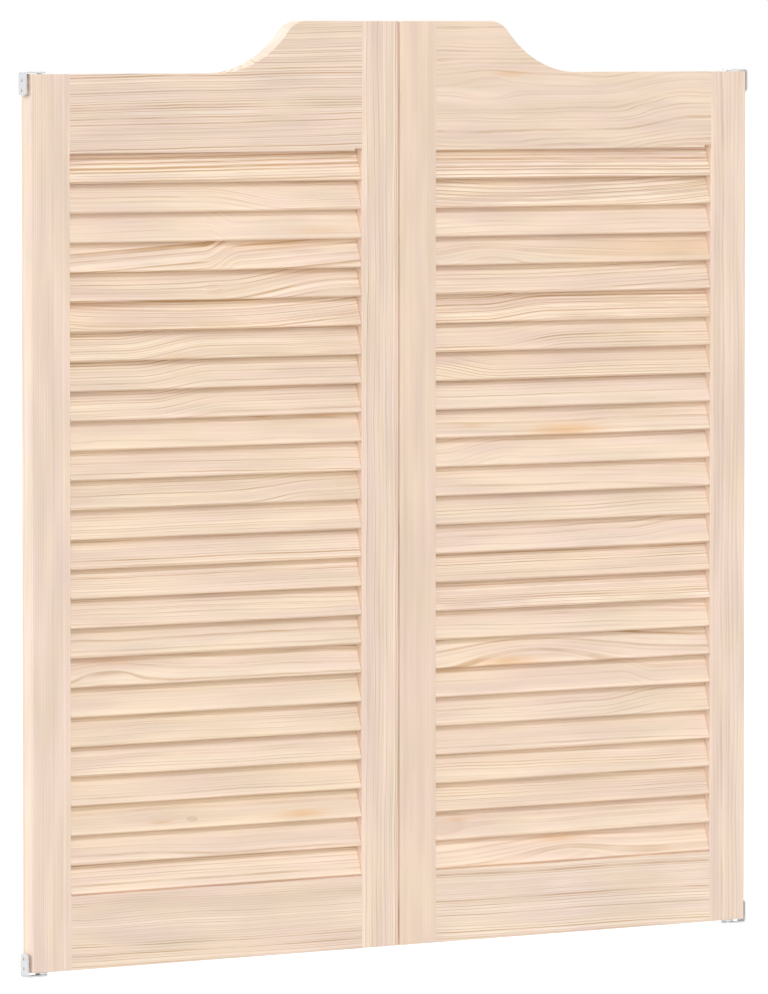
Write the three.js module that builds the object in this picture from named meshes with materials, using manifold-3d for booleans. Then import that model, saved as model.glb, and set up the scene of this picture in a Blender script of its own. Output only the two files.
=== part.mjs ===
// A pair of louvred cafe swinging doors: two leaves with an ogee top, hung between two jambs
// on pivot brackets, each leaf free to swing to the front and to the back.
// Sizes in millimetres. Width runs along X, thickness along Y with the front at -Y, height along Z.
// The origin is midway between the leaves, level with the underside of the bottom brackets.

import * as THREE from "three";
import { mergeVertices } from "three/addons/utils/BufferGeometryUtils.js";
import Module from "manifold-3d";

const wasm = await Module();
wasm.setup();

// Leaves
const LEAF_WIDTH = 509;
const LEAF_THICKNESS = 21;
const SHOULDER_HEIGHT = 1010; // height of a leaf at its hinge edge
const CROWN_RISE = 59.5; // rise of the top from the shoulder to the meeting edge
const MEETING_GAP = 2;

// Stiles and rails
const STILE_WIDTH = 52.3;
const TOP_RAIL_HEIGHT = 89.5; // below the shoulder
const BOTTOM_RAIL_HEIGHT = 85;
const CROWN_LENGTH = 130; // level top, from the meeting edge to the ogee
const OGEE_CROWN_RADIUS = 35;
const OGEE_SWEEP_RADIUS = 129;
const INNER_ARRIS = 0.5; // round on the long edges of a stile beside the louvre
const OUTER_ARRIS = 1.2; // round on the other long edges
const SILL_ARRIS = 2.4; // round on the top edges of a bottom rail, below the louvre
const NOTCH_WIDTH = 9; // small relief at one lower corner of a top rail
const NOTCH_HEIGHT = 2.4;

// Louvre
const SLAT_COUNT = 25;
const SLAT_WIDTH = 46;
const SLAT_THICKNESS = 6;
const SLAT_EDGE_RADIUS = 1.5;
const SLAT_SETBACK = 0.7; // slat edges behind the faces of the leaf
const SLAT_SEAT = 0.6; // the lowest slat is let into the bottom rail by this much
const TONGUE_WIDTH = 30; // end of a slat, let into the stile
const TONGUE_THICKNESS = 5;
const HOUSING_DEPTH = 9;

// Joints in the wood
const TENON_LENGTH = 24;
const TENON_THICKNESS = 7;
const TENON_SHOULDER = 14; // step from the edge of a rail to its tenon
const WOOD_FIT = 0.3; // clearance round slats, tenons and pivots

// Pivot brackets
const PIVOT_INSET = 18; // pivot axis from the hinge edge of a leaf
const JAMB_GAP = 3.6; // hinge edge of a leaf to the bracket beside it
const BRACKET_THICKNESS = 2;
const BRACKET_WIDTH = 14;
const BRACKET_HEIGHT = 27;
const BEND_RADIUS = 1.5; // inside the bend
const FLANGE_CORNER = 4;
const PIN_DIAMETER = 6;
const PIN_LENGTH = 20; // above the tongue
const PIN_CHAMFER = 0.8;
const SCREW_HOLE = 4;
const SCREW_HEAD = 7.6;
const SCREW_END_DISTANCE = 6; // upper hole to the end of the flange
const SCREW_SPACING = 11;
const RUNNING_GAP = 0.3; // between the pieces that turn on each other
const TOP_GAP = 0.8; // shoulder of a leaf to the top bracket

// Spring pivots
const BARREL_DIAMETER = 12;
const BARREL_LENGTH = 60;
const COLLAR_DIAMETER = 14;
const COLLAR_THICKNESS = 2.5;

// Steps of the round forms
const ARRIS_STEPS = 2;
const OGEE_STEPS = 7;
const ROUND_STEPS = 24;

// Places in a leaf, from its pivot axis towards the meeting edge and up from its bottom edge
const hingeEdge = -PIVOT_INSET;
const hingeInner = hingeEdge + STILE_WIDTH;
const meetingEdge = hingeEdge + LEAF_WIDTH;
const meetingInner = meetingEdge - STILE_WIDTH;
const crownHeight = SHOULDER_HEIGHT + CROWN_RISE;
const openingBottom = BOTTOM_RAIL_HEIGHT;
const openingTop = SHOULDER_HEIGHT - TOP_RAIL_HEIGHT;
const slatPitch = (openingTop - openingBottom) / SLAT_COUNT;
const railStart = hingeInner + WOOD_FIT;
const railEnd = meetingInner - WOOD_FIT;

// The slats rake from just behind one face of the leaf to just behind the other.
const slatFlat = SLAT_WIDTH - 2 * SLAT_EDGE_RADIUS;
const slatEdgeFlat = SLAT_THICKNESS - 2 * SLAT_EDGE_RADIUS;
const slatReach = LEAF_THICKNESS - 2 * SLAT_SETBACK - 2 * SLAT_EDGE_RADIUS;
const slatTilt =
  Math.asin(slatReach / Math.hypot(slatFlat, slatEdgeFlat)) - Math.atan2(slatEdgeFlat, slatFlat);
const slatRise =
  slatFlat * Math.cos(slatTilt) + slatEdgeFlat * Math.sin(slatTilt) + 2 * SLAT_EDGE_RADIUS;

// Places of the leaves and brackets
const leafBase = BRACKET_THICKNESS + RUNNING_GAP + COLLAR_THICKNESS + WOOD_FIT;
const pivotX = MEETING_GAP / 2 + meetingEdge;
const topBracketBase = leafBase + SHOULDER_HEIGHT + TOP_GAP + BRACKET_THICKNESS;

// Joining and cutting of closed geometries

function solid(geometry) {
  const bare = geometry.clone();
  bare.deleteAttribute("normal");
  bare.deleteAttribute("uv");
  const merged = mergeVertices(bare);
  return new wasm.Manifold(
    new wasm.Mesh({
      numProp: 3,
      vertProperties: merged.attributes.position.array,
      triVerts: new Uint32Array(merged.index.array),
    }),
  );
}

function geometryOf(made) {
  const { vertProperties, triVerts } = made.getMesh();
  const geometry = new THREE.BufferGeometry();
  geometry.setAttribute("position", new THREE.BufferAttribute(new Float32Array(vertProperties), 3));
  geometry.setIndex(new THREE.BufferAttribute(new Uint32Array(triVerts), 1));
  geometry.computeVertexNormals();
  return geometry;
}

function join(...geometries) {
  return geometryOf(geometries.map(solid).reduce((whole, piece) => whole.add(piece)));
}

function cut(geometry, tools) {
  return geometryOf(tools.map(solid).reduce((whole, tool) => whole.subtract(tool), solid(geometry)));
}

function common(...geometries) {
  return geometryOf(geometries.map(solid).reduce((whole, piece) => whole.intersect(piece)));
}

// Basic forms

function box(x0, x1, y0, y1, z0, z1) {
  const geometry = new THREE.BoxGeometry(x1 - x0, y1 - y0, z1 - z0);
  return geometry.translate((x0 + x1) / 2, (y0 + y1) / 2, (z0 + z1) / 2);
}

// A rectangle with one radius on the corners at its low first coordinate and one at its high.
function roundedOutline(x0, x1, y0, y1, lowRadius, highRadius) {
  const quarter = Math.PI / 2;
  const shape = new THREE.Shape();
  shape.absarc(x0 + lowRadius, y0 + lowRadius, lowRadius, 2 * quarter, 3 * quarter);
  shape.absarc(x1 - highRadius, y0 + highRadius, highRadius, 3 * quarter, 4 * quarter);
  shape.absarc(x1 - highRadius, y1 - highRadius, highRadius, 0, quarter);
  shape.absarc(x0 + lowRadius, y1 - lowRadius, lowRadius, quarter, 2 * quarter);
  return shape;
}

function extrude(shape, depth, curveSegments) {
  return new THREE.ExtrudeGeometry(shape, { depth, curveSegments, bevelEnabled: false });
}

// An outline drawn in X and Z, given its thickness along Y about the middle of the leaf.
function slab(shape, thickness, curveSegments) {
  const geometry = extrude(shape, thickness, curveSegments).rotateX(Math.PI / 2);
  return geometry.translate(0, thickness / 2, 0);
}

// An outline drawn in Y and Z, run along X from x0 to x1.
function run(shape, x0, x1, curveSegments) {
  const geometry = extrude(shape, x1 - x0, curveSegments).rotateY(Math.PI / 2).rotateX(Math.PI / 2);
  return geometry.translate(x0, 0, 0);
}

function turned(profile) {
  const points = profile.map(([radius, height]) => new THREE.Vector2(radius, height));
  return new THREE.LatheGeometry(points, ROUND_STEPS).rotateX(Math.PI / 2);
}

// Slats

function slatMiddleHeight(number) {
  const lowest = openingBottom - SLAT_SEAT + (SLAT_COUNT - number) * slatPitch;
  return lowest + slatRise / 2;
}

// Lays a bar drawn about its own middle in the raked place of a slat.
function raked(bar, number) {
  return bar.rotateX(-slatTilt).translate(0, 0, slatMiddleHeight(number));
}

function tongue(number, x0, x1, clearance) {
  const halfThickness = TONGUE_THICKNESS / 2 + clearance;
  const halfWidth = TONGUE_WIDTH / 2 + clearance;
  return raked(box(x0, x1, -halfThickness, halfThickness, -halfWidth, halfWidth), number);
}

// A slat fills the opening between the stiles, with a narrower tongue at each end.
function slat(number) {
  const halfWidth = SLAT_WIDTH / 2;
  const halfThickness = SLAT_THICKNESS / 2;
  const radius = SLAT_EDGE_RADIUS;
  const outline = roundedOutline(-halfThickness, halfThickness, -halfWidth, halfWidth, radius, radius);
  const blade = raked(run(outline, railStart, railEnd, ARRIS_STEPS), number);
  const reach = HOUSING_DEPTH - WOOD_FIT;
  return join(blade, tongue(number, hingeInner - reach, meetingInner + reach, 0));
}

// Stiles, with a raked housing for each slat end and a mortise for each rail

const tenonBottoms = { bottom: TENON_SHOULDER, top: openingTop + TENON_SHOULDER };

function tenon(x0, x1, bottom, top, clearance) {
  const half = TENON_THICKNESS / 2 + clearance;
  return box(x0, x1, -half, half, bottom - clearance, top + clearance);
}

function stile(x0, x1, height, inner, inward) {
  const lowRadius = inward < 0 ? INNER_ARRIS : OUTER_ARRIS;
  const highRadius = inward < 0 ? OUTER_ARRIS : INNER_ARRIS;
  const half = LEAF_THICKNESS / 2;
  const blank = extrude(roundedOutline(x0, x1, -half, half, lowRadius, highRadius), height, ARRIS_STEPS);
  const span = (depth) => [inner - inward * depth, inner + inward * INNER_ARRIS].sort((a, b) => a - b);
  const cuts = [];
  for (let number = 1; number <= SLAT_COUNT; number += 1) {
    cuts.push(tongue(number, ...span(HOUSING_DEPTH), WOOD_FIT));
  }
  const mortise = span(TENON_LENGTH + WOOD_FIT);
  cuts.push(tenon(...mortise, tenonBottoms.bottom, openingBottom - TENON_SHOULDER, WOOD_FIT));
  cuts.push(tenon(...mortise, tenonBottoms.top, height - TENON_SHOULDER, WOOD_FIT));
  return cut(blank, cuts);
}

function hingeStile() {
  const blank = stile(hingeEdge, hingeInner, SHOULDER_HEIGHT, hingeInner, 1);
  const barrelBore = BARREL_DIAMETER / 2 + WOOD_FIT;
  const pinBore = PIN_DIAMETER / 2 + RUNNING_GAP;
  const pinFloor = SHOULDER_HEIGHT + TOP_GAP - PIN_LENGTH - WOOD_FIT;
  const past = WOOD_FIT;
  return cut(blank, [
    turned([[0, -past], [barrelBore, -past], [barrelBore, BARREL_LENGTH + WOOD_FIT], [0, BARREL_LENGTH + WOOD_FIT]]),
    turned([[0, pinFloor], [pinBore, pinFloor], [pinBore, SHOULDER_HEIGHT + past], [0, SHOULDER_HEIGHT + past]]),
  ]);
}

function meetingStile() {
  return stile(meetingInner, meetingEdge, crownHeight, meetingInner, -1);
}

// Rails, tenoned into the stiles; the top rail carries the highest slat and the bottom rail the lowest

function tenons(bottom, hingeTop, meetingTop) {
  const start = hingeInner - TENON_LENGTH;
  const end = meetingInner + TENON_LENGTH;
  return [
    tenon(start, railStart + TENON_THICKNESS, bottom, hingeTop, 0),
    tenon(railEnd - TENON_THICKNESS, end, bottom, meetingTop, 0),
  ];
}

function topRail(notchStart) {
  const crownEnd = meetingEdge - CROWN_LENGTH;
  const reach = OGEE_CROWN_RADIUS + OGEE_SWEEP_RADIUS;
  const ogeeRun = Math.sqrt(reach ** 2 - (reach - CROWN_RISE) ** 2);
  const change = Math.atan2(reach - CROWN_RISE, -ogeeRun);
  const outline = new THREE.Shape();
  outline.moveTo(railStart, openingTop);
  outline.lineTo(railEnd, openingTop);
  outline.lineTo(railEnd, crownHeight);
  outline.absarc(crownEnd, crownHeight - OGEE_CROWN_RADIUS, OGEE_CROWN_RADIUS, Math.PI / 2, change);
  const sweepCentre = SHOULDER_HEIGHT + OGEE_SWEEP_RADIUS;
  outline.absarc(crownEnd - ogeeRun, sweepCentre, OGEE_SWEEP_RADIUS, change - Math.PI, -Math.PI / 2, true);
  outline.lineTo(railStart, SHOULDER_HEIGHT);
  const half = LEAF_THICKNESS / 2 + WOOD_FIT;
  const notchEnd = notchStart + NOTCH_WIDTH;
  const notch = box(notchStart, notchEnd, -half, half, openingTop - WOOD_FIT, openingTop + NOTCH_HEIGHT);
  const board = cut(slab(outline, LEAF_THICKNESS, OGEE_STEPS), [notch]);
  const hingeTop = SHOULDER_HEIGHT - TENON_SHOULDER;
  const ends = tenons(tenonBottoms.top, hingeTop, crownHeight - TENON_SHOULDER);
  return join(board, ...ends, slat(1));
}

function bottomRail() {
  const half = LEAF_THICKNESS / 2;
  // The section lies with its top edge at the low end until it is turned up.
  const section = roundedOutline(-BOTTOM_RAIL_HEIGHT, 0, -half, half, SILL_ARRIS, OUTER_ARRIS);
  const lying = extrude(section, railEnd - railStart, ARRIS_STEPS);
  const board = lying.rotateY(Math.PI / 2).translate(railStart, 0, 0);
  const tenonTop = BOTTOM_RAIL_HEIGHT - TENON_SHOULDER;
  const ends = tenons(tenonBottoms.bottom, tenonTop, tenonTop);
  return join(board, ...ends, slat(SLAT_COUNT));
}

// Spring pivot, a closed barrel in the foot of the hinge stile that turns on the bottom pin

function springPivot() {
  const foot = -WOOD_FIT - COLLAR_THICKNESS;
  const bore = PIN_DIAMETER / 2 + RUNNING_GAP;
  const boreEnd = foot + PIN_LENGTH;
  return turned([
    [0, boreEnd],
    [bore, boreEnd],
    [bore, foot],
    [COLLAR_DIAMETER / 2, foot],
    [COLLAR_DIAMETER / 2, -WOOD_FIT],
    [BARREL_DIAMETER / 2, -WOOD_FIT],
    [BARREL_DIAMETER / 2, BARREL_LENGTH],
    [0, BARREL_LENGTH],
  ]);
}

// Bracket, an angle of steel plate with the pivot pin riveted into its tongue;
// drawn as the bottom one of the left leaf, from its pivot axis

const flangeInner = hingeEdge - JAMB_GAP;
const flangeOuter = flangeInner - BRACKET_THICKNESS;

function bracketAngle() {
  const half = BRACKET_WIDTH / 2;
  const outerBend = BEND_RADIUS + BRACKET_THICKNESS;
  const side = new THREE.Shape();
  side.moveTo(half, 0);
  side.lineTo(half, BRACKET_THICKNESS);
  side.absarc(flangeInner + BEND_RADIUS, outerBend, BEND_RADIUS, -Math.PI / 2, -Math.PI, true);
  side.lineTo(flangeInner, BRACKET_HEIGHT);
  side.lineTo(flangeOuter, BRACKET_HEIGHT);
  side.absarc(flangeOuter + outerBend, outerBend, outerBend, Math.PI, 1.5 * Math.PI);
  const plan = new THREE.Shape();
  plan.moveTo(flangeOuter, half);
  plan.lineTo(flangeOuter, -half);
  plan.absarc(0, 0, half, -Math.PI / 2, Math.PI / 2);
  const front = roundedOutline(-half, half, -BRACKET_HEIGHT, BRACKET_HEIGHT, FLANGE_CORNER, FLANGE_CORNER);
  return common(
    slab(side, BRACKET_WIDTH, ROUND_STEPS / 8),
    extrude(plan, BRACKET_HEIGHT, ROUND_STEPS / 4),
    run(front, flangeOuter, half, ROUND_STEPS / 8),
  );
}

function screwHole(height) {
  const through = [
    [0, 0],
    [SCREW_HEAD / 2, 0],
    [SCREW_HOLE / 2, (SCREW_HEAD - SCREW_HOLE) / 2],
    [SCREW_HOLE / 2, BRACKET_THICKNESS + RUNNING_GAP],
    [0, BRACKET_THICKNESS + RUNNING_GAP],
  ];
  return turned(through).rotateY(-Math.PI / 2).translate(flangeInner, 0, height);
}

function bracket() {
  const tip = BRACKET_THICKNESS + PIN_LENGTH - RUNNING_GAP;
  const pin = turned([
    [0, BRACKET_THICKNESS / 2],
    [PIN_DIAMETER / 2, BRACKET_THICKNESS / 2],
    [PIN_DIAMETER / 2, tip - PIN_CHAMFER],
    [PIN_DIAMETER / 2 - PIN_CHAMFER, tip],
    [0, tip],
  ]);
  const upperHole = BRACKET_HEIGHT - SCREW_END_DISTANCE;
  return cut(join(bracketAngle(), pin), [screwHole(upperHole), screwHole(upperHole - SCREW_SPACING)]);
}

// Finishes

function pine() {
  return new THREE.MeshStandardMaterial({ color: 0xecd5c0, roughness: 0.62, metalness: 0 });
}

function zinc() {
  return new THREE.MeshStandardMaterial({ color: 0xc9ccce, roughness: 0.35, metalness: 1 });
}

// Assembly

function piece(name, geometry, material) {
  const mesh = new THREE.Mesh(geometry, material);
  mesh.name = name;
  return mesh;
}

// One leaf, built as the left one from its pivot axis; the right one is its mirror image,
// apart from the notch in the top rail, which is at the right-hand end in both.
function leaf(side) {
  const group = new THREE.Group();
  const notchStart = side === "left" ? railEnd - NOTCH_WIDTH : railStart;
  group.add(piece(`${side}_hinge_stile`, hingeStile(), pine()));
  group.add(piece(`${side}_meeting_stile`, meetingStile(), pine()));
  group.add(piece(`${side}_top_rail`, topRail(notchStart), pine()));
  group.add(piece(`${side}_bottom_rail`, bottomRail(), pine()));
  for (let number = 2; number < SLAT_COUNT; number += 1) {
    const label = String(number).padStart(2, "0");
    group.add(piece(`${side}_slat_${label}`, slat(number), pine()));
  }
  group.add(piece(`${side}_spring_pivot`, springPivot(), zinc()));
  group.scale.x = side === "left" ? 1 : -1;
  group.position.set(-group.scale.x * pivotX, 0, leafBase);
  return group;
}

// The two brackets of one side; the top one is the bottom one turned over.
function brackets(side) {
  const group = new THREE.Group();
  const bottom = piece(`${side}_bottom_bracket`, bracket(), zinc());
  const top = piece(`${side}_top_bracket`, bracket(), zinc());
  top.rotation.x = Math.PI;
  top.position.z = topBracketBase;
  group.add(bottom, top);
  group.rotation.z = side === "left" ? 0 : Math.PI;
  group.position.x = side === "left" ? -pivotX : pivotX;
  return group;
}

const doors = new THREE.Group();
for (const side of ["left", "right"]) {
  doors.add(brackets(side), leaf(side));
}

export default doors;
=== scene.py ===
"""A pair of louvred pine cafe doors, hung on pivot brackets, dressed for rendering.

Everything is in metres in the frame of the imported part: width along X, thickness along Y with the
front at -Y, height along Z. The grain of the pine is worked out in millimetres.
"""

import math

import bmesh
import bpy
from mathutils import Matrix, Vector

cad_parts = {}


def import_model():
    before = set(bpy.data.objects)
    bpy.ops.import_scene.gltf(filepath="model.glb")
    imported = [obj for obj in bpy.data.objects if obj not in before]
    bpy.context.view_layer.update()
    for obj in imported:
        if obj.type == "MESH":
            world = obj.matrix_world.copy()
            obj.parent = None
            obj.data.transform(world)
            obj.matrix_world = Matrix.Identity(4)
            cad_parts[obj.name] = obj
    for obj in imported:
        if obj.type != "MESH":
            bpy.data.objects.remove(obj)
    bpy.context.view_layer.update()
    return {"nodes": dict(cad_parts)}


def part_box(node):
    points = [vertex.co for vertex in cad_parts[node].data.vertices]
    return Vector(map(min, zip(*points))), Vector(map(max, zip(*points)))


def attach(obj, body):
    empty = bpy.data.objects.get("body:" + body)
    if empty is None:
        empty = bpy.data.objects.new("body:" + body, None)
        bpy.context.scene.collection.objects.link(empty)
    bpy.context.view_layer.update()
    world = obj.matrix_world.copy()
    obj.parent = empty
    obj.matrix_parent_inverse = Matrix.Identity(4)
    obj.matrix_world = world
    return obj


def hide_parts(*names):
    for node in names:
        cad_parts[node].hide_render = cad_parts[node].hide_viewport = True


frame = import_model()

MM = 0.001
TO_MM = (1 / MM, 1 / MM, 1 / MM)
WHITE = (1.0, 1.0, 1.0, 1.0)
QUARTER_TURN = math.pi / 2
SIDES = ("left", "right")

# Sizes of the joinery
TOP_RAIL_HEIGHT = 89.5 * MM  # below the shoulder
BOTTOM_RAIL_HEIGHT = 85 * MM
CROWN_LENGTH = 130 * MM  # level top, from the meeting edge to the ogee
OGEE_CROWN_RADIUS = 35 * MM
OGEE_SWEEP_RADIUS = 129 * MM
NOTCH_WIDTH = 9 * MM  # in the lower edge of a top rail, at its right end
NOTCH_HEIGHT = 2.4 * MM
TENON_LENGTH = 24 * MM
TENON_THICKNESS = 7 * MM
TENON_SHOULDER = 14 * MM
WOOD_FIT = 0.3 * MM  # room between pieces that fit into each other
GLUE_LINE = 0.04 * MM  # between a rail's shoulder and the stile
INNER_ARRIS = 0.12 * MM  # where a rail meets the stile
OPENING_ARRIS = 1.5 * MM  # beside the slats
ARRIS_RUN_OUT = 2 * MM  # height in which the round beside the slats comes in
OUTER_ARRIS = 1.2 * MM
MEETING_ARRIS = {"left": 0.3 * MM, "right": 2.5 * MM}
RAIL_ARRIS = 0.8 * MM
SILL_DROP = 1.3 * MM  # step in the top of a bottom rail, under the lowest slat
SILL_DEPTH = 3.5 * MM
SILL_CHAMFER = 0.6 * MM
SLAT_COUNT = 25
SLAT_WIDTH = 46 * MM
SLAT_THICKNESS = 6 * MM
SLAT_EDGE_RADIUS = 1.5 * MM
SLAT_SETBACK = 0.7 * MM  # behind the face of a stile
TONGUE_WIDTH = 30 * MM
TONGUE_THICKNESS = 5 * MM
HOUSING_DEPTH = 9 * MM
TONGUE_ARRIS = 0.2 * MM  # on tongues and tenons
BARREL_DIAMETER = 12 * MM
BARREL_LENGTH = 60 * MM
PIN_DIAMETER = 6 * MM
PIN_DEPTH = 19.5 * MM  # bore for the top pin
PLATE_ARRIS = 0.35 * MM  # on the hardware

# How finely the meshes are made
ARRIS_STEPS = 4
OGEE_STEPS = 20
BORE_STEPS = 32
PLATE_STEPS = 2
LEAST_RADIUS = 0.02 * MM
PAST = 1 * MM  # a cutter runs this far past the face it cuts
WELD = 0.001 * MM  # nearer points become one
TINY = 1e-6  # no more than rounding
SAME_POINT = 1e-7
LEAST_MITER = 0.3  # holds the inset back at a sharp corner
SHARP_ANGLE = math.radians(50)  # a mesh is shaded as one round below this
EDGE_ANGLE = math.radians(40)  # an edge of the hardware is eased above this
FLAT_ANGLE = math.radians(1)


# Node trees

class Graph:
    """A node tree that is filled by short calls."""

    def __init__(self, tree):
        self.tree = tree

    def node(self, kind, inputs, **settings):
        made = self.tree.nodes.new(kind)
        for name, value in settings.items():
            setattr(made, name, value)
        for key, value in inputs.items():
            self.feed(made.inputs[key], value)
        return made

    def feed(self, socket, value):
        if isinstance(value, bpy.types.NodeSocket):
            self.tree.links.new(value, socket)
        else:
            socket.default_value = value

    def math(self, operation, first, second=0.0, third=0.0):
        made = self.node("ShaderNodeMath", {0: first, 1: second, 2: third}, operation=operation)
        return made.outputs[0]

    def vector(self, operation, first, second):
        return self.node("ShaderNodeVectorMath", {0: first, 1: second}, operation=operation).outputs[0]

    def split(self, vector):
        return self.node("ShaderNodeSeparateXYZ", {0: vector}).outputs

    def join(self, x, y, z):
        return self.node("ShaderNodeCombineXYZ", {0: x, 1: y, 2: z}).outputs[0]

    def noise(self, place, seed, scale, detail, roughness):
        """The value and the colour of a noise."""
        inputs = {
            "Vector": self.vector("MULTIPLY", place, scale),
            "W": seed,
            "Scale": 1.0,
            "Detail": detail,
            "Roughness": roughness,
        }
        return self.node("ShaderNodeTexNoise", inputs, noise_dimensions="4D").outputs

    def ramp(self, value, low, high, start=0.0, end=1.0):
        """A smooth step from start to end while value goes from low to high."""
        inputs = {"Value": value, "From Min": low, "From Max": high, "To Min": start, "To Max": end}
        return self.node("ShaderNodeMapRange", inputs, interpolation_type="SMOOTHSTEP").outputs[0]

    def hump(self, value, rise, fall):
        """Up to 1 over the first span and down again over the second."""
        return self.math("SUBTRACT", self.ramp(value, *rise), self.ramp(value, *fall))

    def square_sum(self, first, second):
        first_square = self.math("MULTIPLY", first, first)
        return self.math("MULTIPLY_ADD", second, second, first_square)

    def mix(self, share, first, second, blend="MIX"):
        inputs = {0: share, 6: first, 7: second}
        return self.node("ShaderNodeMix", inputs, data_type="RGBA", blend_type=blend).outputs[2]

    def shown(self):
        """1 on the rays that show the backdrop: to the camera, in a reflection and through glass."""
        path = self.node("ShaderNodeLightPath", {}).outputs
        either = self.math("MAXIMUM", path["Is Camera Ray"], path["Is Glossy Ray"])
        return self.math("MAXIMUM", either, path["Is Transmission Ray"])


def new_material(name):
    """A material, its node tree and its shader."""
    made = bpy.data.materials.new(name)
    made.use_nodes = True
    return made, Graph(made.node_tree), made.node_tree.nodes["Principled BSDF"]


def finish_surface(graph, shader, colour, roughness, height, strength, distance):
    """Feeds the shader, with a bump of the given strength and distance."""
    relief = {"Strength": strength, "Distance": distance, "Height": height}
    bump = graph.node("ShaderNodeBump", relief)
    graph.feed(shader.inputs["Base Color"], colour)
    graph.feed(shader.inputs["Roughness"], roughness)
    graph.feed(shader.inputs["Normal"], bump.outputs[0])


# Pine

EARLYWOOD = (0.885, 0.712, 0.575, 1.0)
PALE_WOOD = (0.970, 0.830, 0.670, 1.0)
LATEWOOD = (0.600, 0.390, 0.220, 1.0)
END_WOOD = (0.900, 0.760, 0.620, 1.0)
PINK_WOOD = (1.0, 0.978, 0.996, 1.0)
YELLOW_WOOD = (1.0, 1.0, 0.955, 1.0)
KNOT_BROWN = (0.55, 0.30, 0.13, 1.0)
STAIN_ORANGE = (0.76, 0.43, 0.19, 1.0)

# Places and lengths in millimetres: along the grain, across the face and into the board
KNOTS = ("Knot", "Second Knot")
STAINS = ("Stain", "Second Stain")
FIGURE_INPUTS = {
    "Place": "NodeSocketVector",
    "End": "NodeSocketFloat",  # 1 on a face that cuts across the grain
    "Pith": "NodeSocketVector",  # across, into the board
    "Lean": "NodeSocketVector",  # how far the pith drifts across and into the board along the grain
    "Ring": "NodeSocketFloat",  # breadth of a year's ring
    "Wander": "NodeSocketFloat",  # how far the rings sway
    "Step": "NodeSocketVector",  # along, length, rise of the lines there
    "Bow": "NodeSocketVector",  # along, rise of the lines at BOW_REACH to either side
    "Contrast": "NodeSocketFloat",
    "Tone": "NodeSocketColor",
    "Knot": "NodeSocketVector",  # along, across, size
    "Knot Colour": "NodeSocketFloat",
    "Second Knot": "NodeSocketVector",
    "Second Knot Colour": "NodeSocketFloat",
    "Stain": "NodeSocketVector",  # along, across, half its length
    "Stain Colour": "NodeSocketFloat",
    "Second Stain": "NodeSocketVector",
    "Second Stain Colour": "NodeSocketFloat",
    "Painted Highlight Edge": "NodeSocketFloat",  # across, where a painted highlight pales the wood along an edge
    "Seed": "NodeSocketFloat",
}
FIGURE_OUTPUTS = {
    "Color": "NodeSocketColor",
    "Roughness": "NodeSocketFloat",
    "Height": "NodeSocketFloat",
}
BOARD_DEFAULTS = {
    "Pith": (-140.0, 60.0, 0.0),
    "Ring": 5.0,
    "Wander": 4.0,
    "Contrast": 0.5,
    "Painted Highlight Edge": -1000.0,  # far off the board
}

# Noises: clumps to a millimetre along, across and into the board, finer layers and their strength
SWAY_NOISE = ((0.0055, 0.024, 0.024), 3.0, 0.42)
FAINT_NOISE = ((0.012, 0.05, 0.05), 2.0, 0.5)
FIBRE_NOISE = ((0.030, 1.1, 1.1), 3.0, 0.6)
CANAL_NOISE = ((0.12, 1.9, 1.9), 1.0, 0.5)
TINT_NOISE = ((0.008, 0.04, 0.04), 2.0, 0.5)
CLOUD_NOISE = ((0.006, 0.055, 0.055), 1.0, 0.5)
RING_NOISE = ((1.0, 1.0, 1.0), 1.0, 0.5)  # clumps to a ring
NOISE_MIDDLE = (0.5, 0.5, 0.5)
NOISE_SPREAD = (2.0, 2.0, 2.0)

# Spans of a ring, as shares of its breadth
LATE_RISE = (0.48, 0.84)
LATE_FALL = (0.88, 1.0)
EARLY_RISE = (0.0, 0.10)
EARLY_FALL = (0.15, 0.55)
FINE_RISE = (0.35, 0.75)
FINE_FALL = (0.80, 1.0)
RING_UNEVENNESS = 2.4
FINE_RINGS = 2.7  # weak lines to a ring
FINE_UNEVENNESS = 5.0
LEAST_VIGOUR = 0.15  # of a year's line

# Ramps: between which values, and what they give there
LINE_STRENGTH = (0.30, 0.65, 0.4, 1.2)
FINE_STRENGTH = (0.7, 0.35, 0.1, 0.35)
CANAL_RAMP = (0.66, 0.74, 0.0, 1.0)
TINT_RAMP = (0.35, 0.65, 0.0, 1.0)
CLOUD_LIGHT = (0.28, 0.72, -0.06, 0.06)
EDGE_PAINTED_HIGHLIGHT = (1.5, 6.0, 1.055, 1.0)  # by the distance from the edge with the painted highlight
END_RAMP = (0.05, 0.45, 0.0, 1.0)
STAIN_FIBRES = (0.30, 0.60, 0.5, 1.0)
KNOT_HEART = (0.95, 0.50, 0.0, 1.0)  # by the distance from the middle, in sizes of the knot
KNOT_BODY = (1.30, 0.95, 0.0, 1.0)
HEART_PALENESS = (3.0, 9.0, 0.0, 0.65)  # by the size of the knot

PALE_SHARE = 0.6
END_SHARE = 0.8
FIBRE_LIGHT = (0.10, 0.95)  # by the fibres, and everywhere
CANAL_LIGHT = -0.05
FIBRE_ROUGHNESS = (0.12, 0.60)  # by the fibres, and everywhere
LATE_ROUGHNESS = -0.08
LATE_HEIGHT = 0.35
CANAL_HEIGHT = -0.5
PINE_BUMP = (0.5, 0.06 * MM)
PINE_SPECULAR = 0.25
KNOT_STRETCH = 2.4  # a knot draws out the grain this much along the board
FLOW_SOFTNESS = 0.35  # of a knot's area
MOST_FLOW = 0.8
STAIN_BREADTH = 0.13  # of a stain's length
BOW_REACH = 200.0
STEP_SPAN = (-0.5, 0.5)  # of a step's length, to either side of its middle
ABOVE_ZERO = 0.01  # so that nothing is divided by zero on a board without knot, stain or step


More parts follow.
